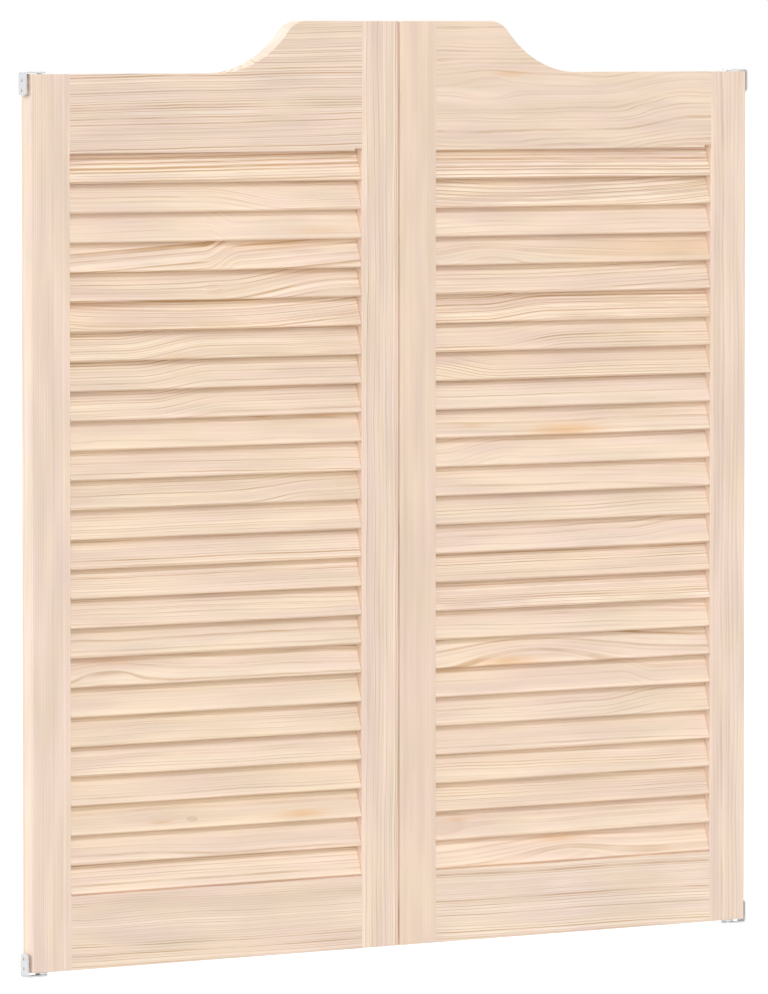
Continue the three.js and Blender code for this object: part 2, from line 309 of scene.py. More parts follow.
def knot_distance(graph, along, across, spot):
    """Square of the distance from a knot, drawn out along the grain; offset across the grain; size."""
    knot_along, knot_across, size = graph.split(spot)
    run = graph.math("DIVIDE", graph.math("SUBTRACT", along, knot_along), KNOT_STRETCH)
    rise = graph.math("SUBTRACT", across, knot_across)
    return graph.square_sum(run, rise), rise, size


def flow_round(graph, along, across, spot):
    """Bends the grain round a knot, as water bends round a stone."""
    square, rise, size = knot_distance(graph, along, across, spot)
    area = graph.math("MULTIPLY", size, size)
    spread = graph.math("ADD", square, graph.math("MULTIPLY_ADD", area, FLOW_SOFTNESS, ABOVE_ZERO))
    push = graph.math("MINIMUM", graph.math("DIVIDE", area, spread), MOST_FLOW)
    return graph.math("SUBTRACT", across, graph.math("MULTIPLY", rise, push))


def rise_along(graph, along, across, stepped, bowed):
    """Lifts the grain by a step at one place and by a bow that grows to either side of another."""
    step_along, length, rise = graph.split(stepped)
    beyond = graph.math("SUBTRACT", along, step_along)
    reached = graph.math("DIVIDE", beyond, graph.math("MAXIMUM", length, ABOVE_ZERO))
    lifted = graph.math("MULTIPLY", graph.ramp(reached, *STEP_SPAN), rise)
    bow_along, bow_rise, _ = graph.split(bowed)
    reached = graph.math("DIVIDE", graph.math("SUBTRACT", along, bow_along), BOW_REACH)
    lifted = graph.math("MULTIPLY_ADD", graph.math("MULTIPLY", reached, reached), bow_rise, lifted)
    return graph.math("SUBTRACT", across, lifted)


def draw_knot(graph, along, across, spot, strength, colour):
    """A large knot has a dark outline round a paler heart, and a small one is dark all over."""
    square, _, size = knot_distance(graph, along, across, spot)
    near = graph.math("DIVIDE", graph.math("SQRT", square), graph.math("MAXIMUM", size, ABOVE_ZERO))
    heart = graph.math("MULTIPLY", graph.ramp(near, *KNOT_HEART), graph.ramp(size, *HEART_PALENESS))
    body = graph.math("SUBTRACT", graph.ramp(near, *KNOT_BODY), heart)
    return graph.mix(graph.math("MULTIPLY", body, strength), colour, KNOT_BROWN)


def draw_stain(graph, along, across, spot, strength, fibre, colour):
    """A stain is a long orange patch that breaks up along the fibres."""
    stain_along, stain_across, length = graph.split(spot)
    reach = graph.math("MAXIMUM", length, ABOVE_ZERO)
    run = graph.math("DIVIDE", graph.math("SUBTRACT", along, stain_along), reach)
    breadth = graph.math("MULTIPLY", reach, STAIN_BREADTH)
    rise = graph.math("DIVIDE", graph.math("SUBTRACT", across, stain_across), breadth)
    patch = graph.math("EXPONENT", graph.math("MULTIPLY", graph.square_sum(run, rise), -1.0))
    patch = graph.math("MULTIPLY", patch, graph.ramp(fibre, *STAIN_FIBRES))
    return graph.mix(graph.math("MULTIPLY", patch, strength), colour, STAIN_ORANGE)


def pine_figure():
    """Growth rings round a pith that leans away from the board, with knots, stains and fibres."""
    tree = bpy.data.node_groups.new("pine_figure", "ShaderNodeTree")
    for name, kind in FIGURE_INPUTS.items():
        tree.interface.new_socket(name, in_out="INPUT", socket_type=kind)
    for name, kind in FIGURE_OUTPUTS.items():
        tree.interface.new_socket(name, in_out="OUTPUT", socket_type=kind)
    graph = Graph(tree)
    given = graph.node("NodeGroupInput", {}).outputs
    place, seed = given["Place"], given["Seed"]
    along, across, depth = graph.split(place)

    # The rings sway slowly along the board and bend round its knots.
    slow = graph.noise(place, seed, *SWAY_NOISE)[1]
    sway = graph.vector("MULTIPLY", graph.vector("SUBTRACT", slow, NOISE_MIDDLE), NOISE_SPREAD)
    sway_across, sway_depth, _ = graph.split(sway)
    swayed = graph.math("MULTIPLY_ADD", sway_across, given["Wander"], across)
    depth = graph.math("MULTIPLY_ADD", sway_depth, given["Wander"], depth)
    bent = swayed
    for name in KNOTS:
        bent = flow_round(graph, along, bent, given[name])
    bent = rise_along(graph, along, bent, given["Step"], given["Bow"])

    # Distance from the pith counts the rings.
    pith_across, pith_depth, _ = graph.split(given["Pith"])
    lean_across, lean_depth, _ = graph.split(given["Lean"])
    off_across = graph.math("SUBTRACT", bent, graph.math("MULTIPLY_ADD", along, lean_across, pith_across))
    off_depth = graph.math("SUBTRACT", depth, graph.math("MULTIPLY_ADD", along, lean_depth, pith_depth))
    distance = graph.math("SQRT", graph.square_sum(off_across, off_depth))
    radius = graph.math("DIVIDE", distance, given["Ring"])
    uneven = graph.noise(graph.join(radius, 0.0, 0.0), seed, *RING_NOISE)[0]
    rings = graph.math("MULTIPLY_ADD", uneven, RING_UNEVENNESS, radius)
    phase = graph.math("FRACT", rings)
    year = graph.math("FLOOR", rings)
    late = graph.hump(phase, LATE_RISE, LATE_FALL)
    early = graph.hump(phase, EARLY_RISE, EARLY_FALL)
    fine_radius = graph.math("MULTIPLY", radius, FINE_RINGS)
    fine_phase = graph.math("FRACT", graph.math("MULTIPLY_ADD", uneven, FINE_UNEVENNESS, fine_radius))
    fine = graph.hump(fine_phase, FINE_RISE, FINE_FALL)

    # Some years leave a strong line and most a weak one, and a line comes and goes along the board.
    own_year = {"W": graph.math("ADD", year, seed)}
    yearly = graph.node("ShaderNodeTexWhiteNoise", own_year, noise_dimensions="1D").outputs[0]
    faint = graph.noise(place, seed, *FAINT_NOISE)[0]
    vigour = graph.math("ADD", yearly, LEAST_VIGOUR)
    vigour = graph.math("MULTIPLY", vigour, graph.ramp(faint, *LINE_STRENGTH))
    vigour = graph.math("MULTIPLY", vigour, given["Contrast"])
    fine = graph.math("MULTIPLY", fine, given["Contrast"])
    fine = graph.math("MULTIPLY", fine, graph.ramp(faint, *FINE_STRENGTH))
    line = graph.math("MAXIMUM", graph.math("MULTIPLY", late, vigour), fine)

    # Fibres and resin canals run along the grain.
    fibre = graph.noise(place, seed, *FIBRE_NOISE)[0]
    canal = graph.ramp(graph.noise(place, seed, *CANAL_NOISE)[0], *CANAL_RAMP)
    yellow = graph.ramp(graph.noise(place, seed, *TINT_NOISE)[0], *TINT_RAMP)
    cloud = graph.ramp(graph.noise(place, seed, *CLOUD_NOISE)[0], *CLOUD_LIGHT)

    pale = graph.math("MULTIPLY", early, graph.math("MULTIPLY", vigour, PALE_SHARE))
    colour = graph.mix(pale, EARLYWOOD, PALE_WOOD)
    colour = graph.mix(line, colour, LATEWOOD)
    colour = graph.mix(1.0, colour, graph.mix(yellow, PINK_WOOD, YELLOW_WOOD), "MULTIPLY")
    for name in KNOTS:
        colour = draw_knot(graph, along, swayed, given[name], given[f"{name} Colour"], colour)
    for name in STAINS:
        colour = draw_stain(graph, along, across, given[name], given[f"{name} Colour"], fibre, colour)
    colour = graph.mix(graph.math("MULTIPLY", given["End"], END_SHARE), colour, END_WOOD)
    light = graph.math("MULTIPLY_ADD", fibre, *FIBRE_LIGHT)
    light = graph.math("MULTIPLY_ADD", canal, CANAL_LIGHT, light)
    light = graph.math("ADD", light, cloud)
    # Painted highlight: the wood is paler within a few millimetres of one edge.
    from_edge = graph.math("SUBTRACT", across, given["Painted Highlight Edge"])
    light = graph.math("MULTIPLY", light, graph.ramp(from_edge, *EDGE_PAINTED_HIGHLIGHT))
    colour = graph.mix(1.0, colour, graph.join(light, light, light), "MULTIPLY")
    colour = graph.mix(1.0, colour, given["Tone"], "MULTIPLY")

    roughness = graph.math("MULTIPLY_ADD", fibre, *FIBRE_ROUGHNESS)
    roughness = graph.math("MULTIPLY_ADD", late, LATE_ROUGHNESS, roughness)
    height = graph.math("MULTIPLY_ADD", late, LATE_HEIGHT, fibre)
    height = graph.math("MULTIPLY_ADD", canal, CANAL_HEIGHT, height)
    graph.node("NodeGroupOutput", {"Color": colour, "Roughness": roughness, "Height": height})
    return tree


FIGURE = pine_figure()


def pine(name, grain, origin, tilt, look):
    """Pine for one board. Grain runs along X or Z; origin and tilt place the board in the frame."""
    made, graph, shader = new_material(name)
    frame_place = graph.node("ShaderNodeTexCoord", {}).outputs
    seat = {"Vector": frame_place["Object"], "Location": origin, "Rotation": (-tilt, 0.0, 0.0)}
    x, y, z = graph.split(graph.node("ShaderNodeMapping", seat, vector_type="TEXTURE").outputs[0])
    board = graph.join(x, z, y) if grain == "X" else graph.join(z, x, y)
    along_normal = graph.split(frame_place["Normal"])[0 if grain == "X" else 2]
    end_on = graph.math("MULTIPLY", along_normal, along_normal)
    group = graph.node("ShaderNodeGroup", {}, node_tree=FIGURE)
    for key, value in {**BOARD_DEFAULTS, **look}.items():
        group.inputs[key].default_value = value
    graph.feed(group.inputs["Place"], graph.vector("MULTIPLY", board, TO_MM))
    graph.feed(group.inputs["End"], graph.ramp(end_on, *END_RAMP))
    finish_surface(graph, shader, *group.outputs, *PINE_BUMP)
    shader.inputs["Specular IOR Level"].default_value = PINE_SPECULAR
    return made


# Zinc plate

DULL_ZINC = (0.55, 0.56, 0.58, 1.0)
BRIGHT_ZINC = (0.76, 0.77, 0.77, 1.0)
PLATE_NOISE = (3.0, (0.25, 0.25, 0.25), 4.0, 0.6)  # seed, clumps to a millimetre, layers and strength
SCRATCH_NOISE = (7.0, (6.0, 6.0, 0.5), 2.0, 0.5)
PLATE_ROUGHNESS = (0.15, 0.22)  # by the clouds in the plate, and everywhere
SCRATCH_ROUGHNESS = 0.18
PLATE_BUMP = (0.25, 0.02 * MM)


def zinc():
    """Dull zinc plate on steel."""
    made, graph, shader = new_material("zinc_plate")
    here = graph.node("ShaderNodeTexCoord", {}).outputs["Object"]
    place = graph.vector("MULTIPLY", here, TO_MM)
    cloud = graph.noise(place, *PLATE_NOISE)[0]
    scratch = graph.noise(place, *SCRATCH_NOISE)[0]
    colour = graph.mix(cloud, DULL_ZINC, BRIGHT_ZINC)
    roughness = graph.math("MULTIPLY_ADD", cloud, *PLATE_ROUGHNESS)
    roughness = graph.math("MULTIPLY_ADD", scratch, SCRATCH_ROUGHNESS, roughness)
    finish_surface(graph, shader, colour, roughness, scratch, *PLATE_BUMP)
    shader.inputs["Metallic"].default_value = 1.0
    return made


# Meshes

def add_piece(name, mesh, body, nodes, material):
    """Puts a mesh made in the frame's own place on a body, in the stead of CAD nodes."""
    data = bpy.data.meshes.new(name)
    bmesh.ops.recalc_face_normals(mesh, faces=mesh.faces)
    for face in mesh.faces:
        face.smooth = True
    mesh.to_mesh(data)
    mesh.free()
    data.set_sharp_from_angle(angle=SHARP_ANGLE)
    piece = bpy.data.objects.new(name, data)
    bpy.context.scene.collection.objects.link(piece)
    data.materials.append(material)
    weighted = piece.modifiers.new("weighted_normals", "WEIGHTED_NORMAL")
    weighted.keep_sharp = True
    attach(piece, body)
    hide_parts(*nodes)
    return piece


def loft(rings, into=None):
    """A closed skin over rings that have the same number of points."""
    made = bmesh.new() if into is None else into
    loops = [[made.verts.new(point) for point in ring] for ring in rings]
    for first, second in zip(loops, loops[1:]):
        for index in range(len(first)):
            following = (index + 1) % len(first)
            made.faces.new((first[index], first[following], second[following], second[index]))
    made.faces.new(reversed(loops[0]))
    made.faces.new(loops[-1])
    return made


def corner(centre_u, centre_v, radius, start):
    """A quarter turn, as points."""
    points = []
    for index in range(ARRIS_STEPS + 1):
        angle = start + index / ARRIS_STEPS * QUARTER_TURN
        points.append((centre_u + radius * math.cos(angle), centre_v + radius * math.sin(angle)))
    return points


def rounded(low_u, high_u, low_v, high_v, low_radius, high_radius):
    """A rectangle with one radius on the corners at its low first coordinate and one at its high."""
    low, high = max(low_radius, LEAST_RADIUS), max(high_radius, LEAST_RADIUS)
    return [
        *corner(low_u + low, low_v + low, low, 2 * QUARTER_TURN),
        *corner(high_u - high, low_v + high, high, 3 * QUARTER_TURN),
        *corner(high_u - high, high_v - high, high, 0),
        *corner(low_u + low, high_v - low, low, QUARTER_TURN),
    ]


def easing(radius):
    """Steps of a rounded end, as inset and distance from the end."""
    steps = []
    for index in range(ARRIS_STEPS + 1):
        angle = index / ARRIS_STEPS * QUARTER_TURN
        steps.append((radius * (1 - math.sin(angle)), radius * (1 - math.cos(angle))))
    return steps


def bar(board, tongue, start, end, reach, place):
    """A bar along X with a thinner tongue at each end; the sections are in Z and Y."""
    sections = [
        (start - reach, tongue), (start, tongue), (start, board),
        (end, board), (end, tongue), (end + reach, tongue),
    ]
    return loft([[place @ Vector((x, y, z)) for z, y in outline] for x, outline in sections])


def cut_away(blank, tools):
    """The blank with the tools cut out of it."""
    pieces = []
    for mesh in (blank, tools):
        bmesh.ops.recalc_face_normals(mesh, faces=mesh.faces)
        data = bpy.data.meshes.new("cutting")
        mesh.to_mesh(data)
        mesh.free()
        pieces.append(bpy.data.objects.new("cutting", data))
        bpy.context.scene.collection.objects.link(pieces[-1])
    change = pieces[0].modifiers.new("cut", "BOOLEAN")
    change.operation = "DIFFERENCE"
    change.solver = "EXACT"
    change.object = pieces[1]
    made = bmesh.new()
    made.from_object(pieces[0], bpy.context.evaluated_depsgraph_get())
    bmesh.ops.dissolve_degenerate(made, dist=WELD, edges=made.edges)
    for piece in pieces:
        data = piece.data
        bpy.data.objects.remove(piece)
        bpy.data.meshes.remove(data)
    return made


def stile(leaf, low, high, inner_is_high):
    """An upright board with small rounds, cut for the ends of the slats and rails."""
    outer = OUTER_ARRIS if high.z == leaf.shoulder_z else MEETING_ARRIS[leaf.side]

    def section(inset, height, inner=INNER_ARRIS):
        low_radius, high_radius = (outer, inner) if inner_is_high else (inner, outer)
        low_x = low.x + (inset if inner_is_high else 0)
        high_x = high.x - (0 if inner_is_high else inset)
        outline = rounded(
            low_x, high_x, low.y + inset, high.y - inset, low_radius - inset, high_radius - inset
        )
        return [Vector((x, y, height)) for x, y in outline]

    steps = easing(RAIL_ARRIS)
    rings = [section(inset, low.z + rise) for inset, rise in steps]
    rings += [
        section(0, leaf.opening_bottom - SILL_DROP),
        section(0, leaf.opening_bottom + ARRIS_RUN_OUT, OPENING_ARRIS),
        section(0, leaf.opening_top - ARRIS_RUN_OUT, OPENING_ARRIS),
        section(0, leaf.opening_top),
    ]
    rings += [section(inset, high.z - rise) for inset, rise in reversed(steps)]
    inner, inward = (high.x, 1) if inner_is_high else (low.x, -1)
    tools = bmesh.new()
    for number in range(1, SLAT_COUNT + 1):
        for_tongue = tongue_section(WOOD_FIT)
        place = slat_place(leaf, number)
        span = (inner - inward * HOUSING_DEPTH, inner + inward * PAST)
        loft([[place @ Vector((x, y, z)) for z, y in for_tongue] for x in span], tools)
    span = (inner - inward * (TENON_LENGTH + WOOD_FIT), inner + inward * PAST)
    for tenon_low, tenon_high in (leaf.bottom_tenon(), leaf.top_tenon(high.z)):
        for_tenon = tenon_section(tenon_low, tenon_high, WOOD_FIT)
        loft([[Vector((x, y, z)) for z, y in for_tenon] for x in span], tools)
    if high.z == leaf.shoulder_z:
        axis = leaf.pivot_x
        bore(tools, axis, BARREL_DIAMETER / 2 + WOOD_FIT, low.z - PAST, low.z + BARREL_LENGTH + WOOD_FIT)
        bore(tools, axis, PIN_DIAMETER / 2 + WOOD_FIT, high.z - PIN_DEPTH, high.z + PAST)
    return cut_away(loft(rings), tools)


def bore(tools, x, radius, low_z, high_z):
    """Adds an upright cylinder to the tools."""
    turns = [2 * math.pi * index / BORE_STEPS for index in range(BORE_STEPS)]
    circle = [(x + radius * math.cos(turn), radius * math.sin(turn)) for turn in turns]
    loft([[Vector((*point, z)) for point in circle] for z in (low_z, high_z)], tools)


def inward_normals(outline, low_x, high_x):
    """The way in from each corner of an outline; upright at the two ends, which stay square."""
    ways = []
    for index, (x, z) in enumerate(outline):
        before = Vector(outline[index - 1])
        after = Vector(outline[(index + 1) % len(outline)])
        here = Vector((x, z))
        first = (here - before).normalized()
        second = (after - here).normalized()
        normal = Vector((-first.y - second.y, first.x + second.x)).normalized()
        miter = normal / max(normal.dot(Vector((-first.y, first.x))), LEAST_MITER)
        if abs(x - low_x) < TINY or abs(x - high_x) < TINY:
            on_end = abs(first.x) < TINY and abs(second.x) < TINY
            miter = Vector((0, 0 if on_end else math.copysign(1, normal.y)))
        ways.append(miter)
    return ways


def top_rail(leaf):
    """A board with the ogee top, rounded along its long edges."""
    low_x, high_x = leaf.low_x + GLUE_LINE, leaf.high_x - GLUE_LINE
    low_y, high_y = leaf.front_y, leaf.back_y
    outline = leaf.top_outline()
    ways = inward_normals(outline, low_x, high_x)

    def section(inset, y):
        return [Vector((x + way.x * inset, y, z + way.y * inset)) for (x, z), way in zip(outline, ways)]

    steps = easing(RAIL_ARRIS)
    rings = [section(inset, low_y + rise) for inset, rise in steps]
    rings += [section(0, -TENON_THICKNESS / 2), section(0, TENON_THICKNESS / 2)]
    rings += [section(inset, high_y - rise) for inset, rise in reversed(steps)]
    made = loft(rings)
    for end, way in ((low_x, -1), (high_x, 1)):
        draw_tenon(made, end, way)
    return made


def draw_tenon(made, end, way):
    """Draws the tenon out of the middle patch of a rail's end."""
    def is_patch(face):
        middle = face.calc_center_median()
        tall = max(vert.co.z for vert in face.verts) - min(vert.co.z for vert in face.verts)
        return abs(middle.x - end) < TINY and abs(middle.y) < TINY and tall > 2 * TENON_SHOULDER

    patch = next(face for face in made.faces if is_patch(face))
    drawn = bmesh.ops.extrude_discrete_faces(made, faces=[patch])
    bmesh.ops.translate(made, verts=drawn["faces"][0].verts, vec=(way * TENON_LENGTH, 0, 0))


def arc(centre_x, centre_z, radius, start, end):
    points = []
    for index in range(OGEE_STEPS + 1):
        angle = start + (end - start) * index / OGEE_STEPS
        points.append((centre_x + radius * math.cos(angle), centre_z + radius * math.sin(angle)))
    return points


def without_repeats(outline):
    kept = []
    for point in outline:
        if not kept or (Vector(point) - Vector(kept[-1])).length > SAME_POINT:
            kept.append(point)
    return kept


def ogee(crown_end, crown_z, shoulder_z):
    """The curve from the level crown down to the shoulder, drawn towards lower X."""
    reach = OGEE_CROWN_RADIUS + OGEE_SWEEP_RADIUS
    drop = crown_z - shoulder_z
    run = math.sqrt(reach**2 - (reach - drop) ** 2)
    change = math.atan2(reach - drop, -run)
    upper = arc(crown_end, crown_z - OGEE_CROWN_RADIUS, OGEE_CROWN_RADIUS, QUARTER_TURN, change)
    sweep_z = shoulder_z + OGEE_SWEEP_RADIUS
    lower = arc(crown_end - run, sweep_z, OGEE_SWEEP_RADIUS, change - math.pi, -QUARTER_TURN)
    return upper + lower


class Leaf:
    """Places of one leaf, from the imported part."""

    def __init__(self, side):
        self.side = side
        self.hinge_low, self.hinge_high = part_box(f"{side}_hinge_stile")
        self.meeting_low, self.meeting_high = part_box(f"{side}_meeting_stile")
        if side == "left":
            self.low_x = self.hinge_high.x
            self.high_x = self.meeting_low.x
        else:
            self.low_x = self.meeting_high.x
            self.high_x = self.hinge_low.x
        self.bottom_z = self.hinge_low.z
        self.shoulder_z = self.hinge_high.z
        self.crown_z = self.meeting_high.z
        self.opening_top = self.shoulder_z - TOP_RAIL_HEIGHT
        self.opening_bottom = self.bottom_z + BOTTOM_RAIL_HEIGHT
        pivot_low, pivot_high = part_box(f"{side}_spring_pivot")
        self.pivot_x = (pivot_low.x + pivot_high.x) / 2
        self.front_y = self.hinge_low.y
        self.back_y = self.hinge_high.y

    def slat_middle(self, number):
        """Height of a slat's middle, counted down from the top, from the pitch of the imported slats."""
        second_low, second_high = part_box(f"{self.side}_slat_02")
        third_low, third_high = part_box(f"{self.side}_slat_03")
        second = (second_low.z + second_high.z) / 2
        pitch = second - (third_low.z + third_high.z) / 2
        return second - (number - 2) * pitch

    def top_outline(self):
        """Anticlockwise in X and Z: the lower edge with its notch, the right end, the crown and ogee."""
        low, high = self.low_x + GLUE_LINE, self.high_x - GLUE_LINE
        tenon_low = self.opening_top + TENON_SHOULDER
        notch = [
            (high - NOTCH_WIDTH, self.opening_top),
            (high - NOTCH_WIDTH, self.opening_top + NOTCH_HEIGHT),
            (high, self.opening_top + NOTCH_HEIGHT),
        ]
        if self.side == "left":
            crown_end = self.meeting_high.x - CROWN_LENGTH
            curve = ogee(crown_end, self.crown_z, self.shoulder_z)
            right = [(high, tenon_low), (high, self.crown_z - TENON_SHOULDER), (high, self.crown_z)]
            left = [(low, self.shoulder_z), (low, self.shoulder_z - TENON_SHOULDER), (low, tenon_low)]
            outline = [(low, self.opening_top), *notch, *right, *curve, *left]
        else:
            crown_right = self.meeting_low.x + CROWN_LENGTH
            curve = [(2 * crown_right - x, z) for x, z in ogee(crown_right, self.crown_z, self.shoulder_z)]
            right = [(high, tenon_low), (high, self.shoulder_z - TENON_SHOULDER), (high, self.shoulder_z)]
            left = [(low, self.crown_z), (low, self.crown_z - TENON_SHOULDER), (low, tenon_low)]
            outline = [(low, self.opening_top), *notch, *right, *reversed(curve), *left]
        return without_repeats(outline)

    def bottom_tenon(self):
        return self.bottom_z + TENON_SHOULDER, self.opening_bottom - TENON_SHOULDER

    def top_tenon(self, stile_top):
        return self.opening_top + TENON_SHOULDER, stile_top - TENON_SHOULDER


def slat_tilt(leaf):
    """The rake at which a slat just reaches from front to back, less the setback."""
    flat = SLAT_WIDTH - 2 * SLAT_EDGE_RADIUS
    edge_flat = SLAT_THICKNESS - 2 * SLAT_EDGE_RADIUS
    reach = leaf.back_y - leaf.front_y - 2 * SLAT_SETBACK - 2 * SLAT_EDGE_RADIUS
    return math.asin(reach / math.hypot(flat, edge_flat)) - math.atan2(edge_flat, flat)


def slat_place(leaf, number):
    return Matrix.Translation((0, 0, leaf.slat_middle(number))) @ Matrix.Rotation(-slat_tilt(leaf), 4, "X")


def tongue_section(clearance):
    half_width, half_thickness = TONGUE_WIDTH / 2 + clearance, TONGUE_THICKNESS / 2 + clearance
    return rounded(-half_width, half_width, -half_thickness, half_thickness, TONGUE_ARRIS, TONGUE_ARRIS)


def tenon_section(low_z, high_z, clearance):
    half = TENON_THICKNESS / 2 + clearance
    return rounded(low_z - clearance, high_z + clearance, -half, half, TONGUE_ARRIS, TONGUE_ARRIS)


def slat(leaf, number):
    """A blade with rounded edges and a tongue at each end, raked into its place."""
    half_width, half_thickness = SLAT_WIDTH / 2, SLAT_THICKNESS / 2
    blade = rounded(
        -half_width, half_width, -half_thickness, half_thickness, SLAT_EDGE_RADIUS, SLAT_EDGE_RADIUS
    )
    start, end = leaf.low_x + WOOD_FIT, leaf.high_x - WOOD_FIT
    return bar(blade, tongue_section(0), start, end, HOUSING_DEPTH, slat_place(leaf, number))


def bottom_rail(leaf):
    """A board with a step along its top front edge, in the shade of the lowest slat."""
    board = rounded(leaf.bottom_z, leaf.opening_bottom, leaf.front_y, leaf.back_y, RAIL_ARRIS, RAIL_ARRIS)
    start, end = leaf.low_x + GLUE_LINE, leaf.high_x - GLUE_LINE
    made = bar(board, tenon_section(*leaf.bottom_tenon(), 0), start, end, TENON_LENGTH, Matrix())
    sill_z = leaf.opening_bottom - SILL_DROP
    recess = [
        (leaf.front_y - PAST, sill_z - SILL_CHAMFER - PAST),
        (leaf.front_y + SILL_CHAMFER, sill_z),
        (leaf.front_y + SILL_DEPTH, sill_z),
        (leaf.front_y + SILL_DEPTH, leaf.opening_bottom + PAST),
        (leaf.front_y - PAST, leaf.opening_bottom + PAST),
    ]
    span = (start - PAST, end + PAST)
    return cut_away(made, loft([[Vector((x, y, z)) for y, z in recess] for x in span]))


def eased_copy(piece, side, width):
    """The mesh of a piece of the left hardware with its edges rounded a little, mirrored for the right."""
    made = bmesh.new()
    made.from_mesh(frame["nodes"][f"left_{piece}"].data)
    bmesh.ops.remove_doubles(made, verts=made.verts, dist=WELD)
    bmesh.ops.dissolve_limit(made, angle_limit=FLAT_ANGLE, verts=made.verts, edges=made.edges)
    sharp = [edge for edge in made.edges if edge.is_manifold and edge.calc_face_angle() > EDGE_ANGLE]
    bmesh.ops.bevel(
        made, geom=sharp, offset=width, segments=PLATE_STEPS,
        profile=0.5, affect="EDGES", clamp_overlap=True,
    )
    if side == "right":
        bmesh.ops.scale(made, vec=(-1, 1, 1), verts=made.verts)
    return made


# Boards

# Most slats are a little paler than the frame, partly as painted light: the stronger light from above on
# their upward-facing faces.
SLAT_TONE = (1.040, 1.048, 1.042, 1.0)
FRAME_TONE = (1.012, 1.015, 1.045, 1.0)
SEEDS = {"left": 11.0, "right": 53.0}
SLAT_SEED = 5  # added for the slats, after the boards of the frame


def figure(ring, contrast, slope=0.0, wander=4.0, **more):
    """Rings that cross the face as lines; slope is their rise along the board, wander their sway."""
    return {"Ring": ring, "Contrast": contrast, "Lean": (slope, 0.0, 0.0), "Wander": wander, **more}


def knot(along, across, size, colour=0.0):
    return {"Knot": (along, across, size), "Knot Colour": colour}


def second_knot(along, across, size, colour=0.0):
    return {"Second Knot": (along, across, size), "Second Knot Colour": colour}


def stain(along, across, half_length, colour):
    return {"Stain": (along, across, half_length), "Stain Colour": colour}


def second_stain(along, across, half_length, colour):
    return {"Second Stain": (along, across, half_length), "Second Stain Colour": colour}


def step(along, length, rise):
    return {"Step": (along, length, rise)}


def bow(along, rise):
    return {"Bow": (along, rise, 0.0)}


# A painted highlight along the edge at this place across the board.
def painted_highlight_edge(across):
    return {"Painted Highlight Edge": across}


def tone(red, green, blue):
    return {"Tone": (red, green, blue, 1.0)}


def shade(lightness, yellow=0.0):
    """A slat that is paler or darker than most, and more or less yellow."""
    red, green, blue, _ = SLAT_TONE
    return tone(lightness * red, lightness * green, lightness * (1 - yellow) * blue)


